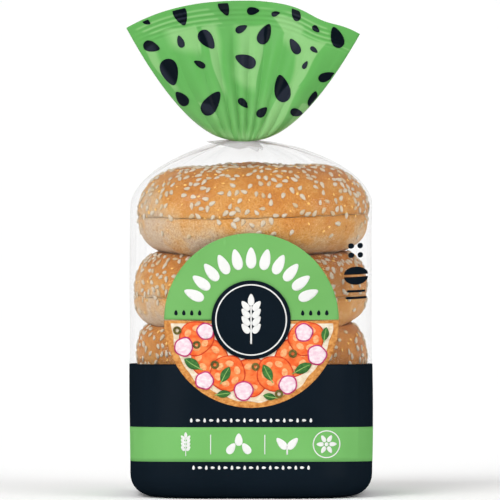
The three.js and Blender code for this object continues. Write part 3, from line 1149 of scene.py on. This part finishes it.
def make_side_marks():
    """Dark marks on the clear film at the label's right: dots, a split tab and two rules."""
    shapes = []
    for side, start in ((-1, 180), (1, 0)):
        edge_z = TAB_Z + side * 0.5
        shapes.append([arc_points(TAB_X, edge_z, 5.4, start, start + 180, 24, radius_z=3.6)])
    for right in (-2.1, 2.1):
        for up in (-2.1, 2.1):
            shapes.append([circle(TAB_X + right, TAB_Z + 11.4 + up, 1.25, 20)])
    for up, length in ((-7.0, 8.4), (-10.0, 9.6)):
        shapes.append([bar(TAB_X, TAB_Z + up, length, 1.1)])
    put_on_front("print_side_marks", shapes, 1.9, "navy", cell=(0.8, 2.0))


# Lengths of the dark pips on the fan, the largest first.
PIP_LENGTHS = [12.5] * 3 + [10] * 5 + [7.8] * 7 + [5.8] * 7 + [4] * 5


def keep_on_fan(outline, margin=0.985):
    """Cuts an outline off just inside the fan's edges."""
    kept = []
    for x, z in outline:
        rise, place = 0.5, 0.0
        for _ in range(30):
            place = (x - NECK_X) / float(fan_half_width(x - NECK_X, max(rise, 0.01)))
            place = min(max(place, -margin), margin)
            rise = min(max((z - NECK_Z) / (float(fan_top_z(place)) - NECK_Z), 0.01), margin)
        reach = place * float(fan_half_width(place, rise))
        kept.append((NECK_X + reach, lerp(NECK_Z, float(fan_top_z(place)), rise)))
    return kept


def scatter_pips(seed):
    """Dark pips over the fan, well apart, the largest first. Some are cut off by its edges."""
    dice = random.Random(seed)
    chosen = []
    for length in PIP_LENGTHS:
        for _ in range(400):
            place, rise = dice.uniform(-0.97, 0.97), dice.uniform(0.06, 0.985) ** 0.7
            x = NECK_X + place * float(fan_half_width(place, rise))
            z = lerp(NECK_Z, float(fan_top_z(place)), rise)
            if all(math.hypot(x - a, z - b) > 0.52 * (length + c) + 2.4 for a, b, c, *_ in chosen):
                chosen.append((x, z, length, length * dice.uniform(0.48, 0.62), dice.uniform(0, 360)))
                break
    return [[keep_on_fan(pip(x, z, length, width, turn, 26, 0.35))] for x, z, length, width, turn in chosen]


def make_fan_print():
    for side, seed, name in ((-1, 4, "front"), (1, 9, "back")):
        make_print(
            f"fan_pips_{name}",
            scatter_pips(seed),
            4,
            "fan_navy",
            on_fan(side),
            cell=(0.5, 0.5),
            # The pips take the fan's painted highlights too.
            lit=lambda x, z: fan_lit(*fan_place(x, z), side),
        )


# Bagels


def bagel_noise(point, seed):
    """Unevenness of the crust: broad lumps, small dents and a fine grain, in millimetres."""
    shifted = Vector(point) + Vector((seed * 131.7, seed * 57.3, 0))
    return (
        1.5 * noise.noise(shifted / 24)
        + 0.42 * noise.noise(shifted / 8)
        + 0.1 * noise.noise(shifted / 2.4)
    )


def section_of(entry):
    """Middle and half width of a bagel's section, measured from the bagel's axis."""
    return (entry["radius"] + HOLE_RADIUS) / 2, (entry["radius"] - HOLE_RADIUS) / 2


def cut_z(entry, x, y):
    """Height of a bagel's cut over a place."""
    lean, pitch = math.radians(entry["lean"]), math.radians(entry["pitch"])
    return entry["cut"] + math.tan(lean) * (x - entry["x"]) + math.tan(pitch) * y


def fullness_at(sides, turn):
    left, right = sides
    return lerp(right, left, 0.5 - 0.5 * np.cos(turn))


def underside(entry, x, y):
    """Height of a bagel's underside over a place, without limit where the bagel doesn't reach."""
    middle, half = section_of(entry)
    fullness = fullness_at(entry["lower"], np.arctan2(y, x - entry["x"]))
    out = np.abs(np.hypot(x - entry["x"], y) - middle) / half
    depth = (entry["cut"] - entry["low"]) * np.maximum(1 - out**fullness, 0) ** (1 / fullness)
    return np.where(out < 1, cut_z(entry, x, y) - depth, np.inf)


def half_grid(entry, seed, upper, above):
    """Rings of one half's crust, from the outer edge of the cut over to the hole's edge."""
    turn = turns(260)
    middle, half = section_of(entry)
    height = entry["top"] - entry["cut"] if upper else entry["cut"] - entry["low"]
    sign = 1 if upper else -1
    flattened = 0 if upper else 0.7
    power = 2 / fullness_at(entry["upper"] if upper else entry["lower"], turn)
    rings = []
    for arc in np.linspace(0, math.pi, 46):
        c, s = math.cos(arc), abs(math.sin(arc))
        rise = s**power * height
        tuck = (0.35 + 0.2 * np.sin(13 * turn + seed)) * np.maximum(0, 1 - rise / 1.1) ** 2
        radius = middle + math.copysign(1, c) * (abs(c) ** power * half - tuck)
        radius = radius + 0.25 * np.sin(2 * turn + seed) + 0.2 * np.sin(5 * turn + 2 * seed)
        ring = ring_points(turn, radius, 0.0, entry["x"])
        waver = 0.22 * np.sin(3 * turn + seed) + 0.12 * np.sin(17 * turn) + 0.08 * np.sin(41 * turn + seed)
        ring[:, 2] = cut_z(entry, ring[:, 0], ring[:, 1]) + waver + sign * (rise + CUT_GAP)
        damp = 1 - flattened * np.maximum(0, rise / height - 0.85) / 0.15
        bump = np.array([bagel_noise(p, seed) for p in ring]) * np.minimum(1, 0.25 + rise / 5) * damp
        ring += ring_points(turn, c, sign * s) * bump[:, None]
        if above is not None:
            ring[:, 2] = np.minimum(ring[:, 2], underside(above, ring[:, 0], ring[:, 1]) - RESTING_GAP)
        rings.append(inside_film(ring))
    return np.array(rings)


def inside_film(ring):
    """Keeps points of a bagel just inside the standing film."""
    room = oval_radius(turn_of(ring), HALF_WIDTH, HALF_DEPTH, body_squareness(ring[:, 2])) - FILM_GAP
    share = np.minimum(1, room / np.hypot(ring[:, 0], ring[:, 1]))
    return np.stack([ring[:, 0] * share, ring[:, 1] * share, ring[:, 2]], axis=1)


def bake_and_side_light_levels(points, entry):
    """How dark each point is baked, underside 0 to crown 1, with painted light left and shade right."""
    height = (points[:, :, 2] - entry["low"]) / (entry["top"] - entry["low"])
    sideways = (points[:, :, 0] - entry["x"]) / entry["radius"]
    # Painted light pales each bagel's left side, and painted shade darkens it towards the right.
    left_painted_light = entry["painted_light_left"] * smoothstep(-sideways, 0.55, 1.0)
    right_painted_shade = smoothstep(sideways, 0.0, 0.5) * (1 - 0.8 * smoothstep(sideways, 0.75, 1.0))
    browned = entry["browned"] + 0.18 * right_painted_shade
    return np.clip(0.12 + 0.72 * np.clip(height, 0, 1) - left_painted_light + browned, 0, 1)


def make_half(number, entry, seed, upper, above=None):
    """One half of a bagel: its crust and its cut face. Returns the crust for the seeds."""
    crust = half_grid(entry, seed, upper, above)
    steps, around = crust.shape[:2]
    cut_face = []
    for share in np.arange(1, 8) / 8:
        ring = lerp(crust[-1], crust[0], share)
        ring[:, 2] += (CUT_SAG if upper else -CUT_SAG) * math.sin(math.pi * share)
        cut_face.append(ring)
    grid = np.concatenate([crust, cut_face])
    faces = grid_faces(len(grid), around, turned=not upper, closed=True)
    slots = np.zeros(len(faces), int)
    slots[(steps - 1) * around:] = 1
    name = f"bagel_{number}_top" if upper else f"bagel_{number}_bottom"
    # Baking, with painted side light and shade, for the crust's colour.
    bake_and_side_light = {"bake_and_side_light": bake_and_side_light_levels(grid, entry)}
    piece = make_piece(name, grid, faces, ["crust", "crumb"], bake_and_side_light, slots)
    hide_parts(f"bagel_{number}_upper" if upper else f"bagel_{number}_lower")
    return crust


def seed_shape(sides=8, rings=4):
    """One sesame seed lying along +X: a flat drop with a pointed end, about 3 mm long."""
    length, width, thickness = 3.1, 1.95, 0.95
    points = [(-length / 2, 0, 0)]
    for k in range(1, rings + 1):
        u = -math.cos(math.pi * k / (rings + 1))
        girth = math.sqrt(1 - u * u) * (1 - 0.32 * u)
        for j in range(sides):
            t = 2 * math.pi * j / sides
            across, up = girth * width / 2 * math.cos(t), girth * thickness / 2 * math.sin(t)
            points.append((u * length / 2, across, up))
    points.append((length / 2 * 1.08, 0, 0))
    faces = [(0, 1 + (j + 1) % sides, 1 + j) for j in range(sides)]
    faces += [tuple(face + 1) for face in grid_faces(rings, sides)]
    last = 1 + (rings - 1) * sides
    faces += [(last + j, last + (j + 1) % sides, len(points) - 1) for j in range(sides)]
    return np.array(points), faces


def seed_chances(corners, entry, seed, areas, upper):
    """How likely each patch of a half's crust is to hold a seed: they lie in loose clumps."""
    z = corners[:, :, 2]
    if upper:
        weight = 0.6 + 0.4 * smoothstep((z - entry["cut"]) / (entry["top"] - entry["cut"]), 0.0, 0.7)
    else:
        weight = smoothstep(z, entry["low"] + 5, entry["cut"] - 1)
    shift = Vector((seed * 31.7, 0, 0))
    clumps = np.array([noise.noise((Vector(p) + shift) / CLUMP_SIZE) for p in corners.reshape(-1, 3)])
    clumps = 0.3 + 1.5 * smoothstep(clumps.reshape(areas.shape), -0.3, 0.4)
    chance = (areas * weight * clumps).ravel()
    return chance / chance.sum()


def spread_seeds(crust, entry, seed, count, upper):
    """Places and turns for the seeds on one half's crust, kept a little apart."""
    rng = np.random.default_rng(seed)
    corners = crust[:-1]
    across = np.roll(corners, -1, axis=1) - corners
    along = crust[1:] - corners
    normal = np.cross(across, along) * (1 if upper else -1)
    areas = np.linalg.norm(normal, axis=2)
    normal = normal / np.maximum(areas[:, :, None], 1e-9)
    chances = seed_chances(corners, entry, seed, areas, upper)
    placed, cells = [], {}
    for pick in rng.choice(chances.size, size=count * 3, p=chances):
        patch = divmod(int(pick), crust.shape[1])
        u, v = rng.random(2)
        point = corners[patch] + u * across[patch] + v * along[patch]
        cell = tuple((point // SEEDS_APART).astype(int))
        around = itertools.product(*[(c - 1, c, c + 1) for c in cell])
        near = itertools.chain.from_iterable(cells.get(c, []) for c in around)
        if any(np.linalg.norm(point - other) < SEEDS_APART for other in near):
            continue
        cells.setdefault(cell, []).append(point)
        if rng.random() < TOASTED_SHARE:
            size, tone = rng.uniform(0.35, 0.6), 1.0
        else:
            size, tone = rng.uniform(0.88, 1.18), 0.9 * rng.random()
        placed.append((point, normal[patch], rng.uniform(0, 2 * math.pi), size, tone))
        if len(placed) == count:
            break
    return placed


def make_seeds(name, placed):
    base, base_faces = seed_shape()
    points, faces, toast = [], [], []
    for point, normal, turn, size, tone in placed:
        up = Vector(normal)
        tangent = up.orthogonal().normalized()
        along = tangent * math.cos(turn) + up.cross(tangent) * math.sin(turn)
        axes = np.array([along, up.cross(along), up])
        offset = len(points) * len(base)
        points.append((base * size) @ axes + point + np.array(up) * SEED_LIFT)
        faces += [[i + offset for i in face] for face in base_faces]
        toast.append(np.full(len(base), tone**1.6))
    make_piece(name, points, faces, ["sesame"], {"toast": np.concatenate(toast)})


def make_stack():
    """The four bagels, each sliced in two, with seeds on the crust that isn't leaned on."""
    for number, entry in enumerate(STACK, start=1):
        seed = number * 3 + 1
        above = STACK[number - 2] if number > 1 else None
        upper = make_half(number, entry, seed, True, above)
        lower = make_half(number, entry, seed, False)
        hidden = number == len(STACK)
        placed = spread_seeds(upper, entry, seed, 360 if hidden else 1040, True)
        placed += spread_seeds(lower, entry, seed + 50, 20 if hidden else 60, False)
        if above is not None:
            placed = [p for p in placed if p[0][2] < underside(above, p[0][0], p[0][1]) - SEED_ROOM]
        make_seeds(f"seeds_{number}", placed)


# Floor, light and camera


# Each softbox: where it stands, its half width, its lowest and highest edge, all in degrees,
# and its brightness. 0 degrees is straight in front of the pack, and more is to the right.
SOFTBOXES = [(-44, 22, -6, 50, 2.4), (50, 18, -6, 48, 2.5)]

# Half the floor's width, in metres.
FLOOR_REACH = 60


def make_surroundings():
    """White surroundings, darker overhead, with two softboxes in front of the pack."""
    world = bpy.data.worlds.new("studio")
    bpy.context.scene.world = world
    world.use_nodes = True
    sky = Nodes(world.node_tree)
    direction = sky.add("ShaderNodeTexCoord").outputs["Generated"]
    x, y, z = sky.add("ShaderNodeSeparateXYZ", Vector=direction).outputs

    def ramp(value, low, high, to_low=0.0, to_high=1.0):
        return sky.remap(value, low, high, to_low, to_high, "SMOOTHSTEP")

    strength = sky.math("ADD", ramp(z, 0.0, 0.12, 0.25, 0.0), ramp(z, 0.1, 0.8, 0.75, 0.5))
    around = sky.math("MULTIPLY", sky.math("ARCTAN2", x, sky.math("MULTIPLY", y, -1.0)), 180 / math.pi)
    height = sky.math("MULTIPLY", sky.math("ARCSINE", z), 180 / math.pi)
    for at, half, bottom, top, power in SOFTBOXES:
        aside = sky.math("ABSOLUTE", sky.math("SUBTRACT", around, float(at)))
        across = ramp(aside, half - 2.0, half + 2.0, 1.0, 0.0)
        above = ramp(height, bottom - 2.0, bottom + 2.0)
        below = ramp(height, top - 3.0, top + 3.0, 1.0, 0.0)
        panel = sky.math("MULTIPLY", sky.math("MULTIPLY", across, above), below)
        strength = sky.math("ADD", strength, sky.math("MULTIPLY", panel, power))
    background = world.node_tree.nodes["Background"]
    sky.feed(background.inputs["Color"], (255, 255, 255))
    sky.feed(background.inputs["Strength"], strength)


def make_studio():
    """A pale floor just under the pack, one soft lamp and the surroundings."""
    corners = [(-FLOOR_REACH, -FLOOR_REACH, 0), (FLOOR_REACH, -FLOOR_REACH, 0)]
    corners += [(FLOOR_REACH, FLOOR_REACH, 0), (-FLOOR_REACH, FLOOR_REACH, 0)]
    mesh = bpy.data.meshes.new("floor")
    mesh.from_pydata(corners, [], [(0, 1, 2, 3)])
    s = Shader("floor")
    pale = s.principled(Base_Color=(254, 254, 254), Roughness=0.9, Specular_IOR_Level=0.1)
    mesh.materials.append(s.finish(pale))
    floor = put_in_scene("floor", mesh)
    floor.location.z = -0.2 * MM

    sun = bpy.data.lights.new("sun", "SUN")
    sun.energy = 0.7
    sun.angle = math.radians(25)
    lamp = put_in_scene("sun", sun)
    lamp.rotation_euler = Vector((0.5, 0.75, -1.05)).to_track_quat("-Z", "Y").to_euler()
    make_surroundings()
    bpy.context.scene.view_settings.view_transform = "Standard"
    bpy.context.scene.cycles.transparent_max_bounces = 48


# The camera, in metres and degrees: how far off and how high it stands, the height that its
# frame takes in at the pack, and the point that it looks at.
CAMERA_DISTANCE = 8.0
CAMERA_ELEVATION = 2.0
FRAME_HEIGHT = 0.2275
AIM = Vector((-0.0005, 0, 0.1108))


def make_camera():
    """A long lens a little above the pack, with the frame that the photograph has."""
    data = bpy.data.cameras.new("camera")
    data.sensor_width = 36
    data.lens = data.sensor_width * CAMERA_DISTANCE / FRAME_HEIGHT
    data.clip_start = 0.1
    data.clip_end = 200
    camera = put_in_scene("camera", data)
    rise = math.radians(CAMERA_ELEVATION)
    back = Vector((0, -math.cos(rise), math.sin(rise)))
    camera.location = AIM + back * CAMERA_DISTANCE
    camera.rotation_euler = (-back).to_track_quat("-Z", "Y").to_euler()
    bpy.context.scene.camera = camera


make_camera()
make_studio()
make_window()
make_gathered()
make_base()
make_band()
make_fan()
make_label()
make_picture()
make_front_marks()
make_side_marks()
make_fan_print()
make_stack()
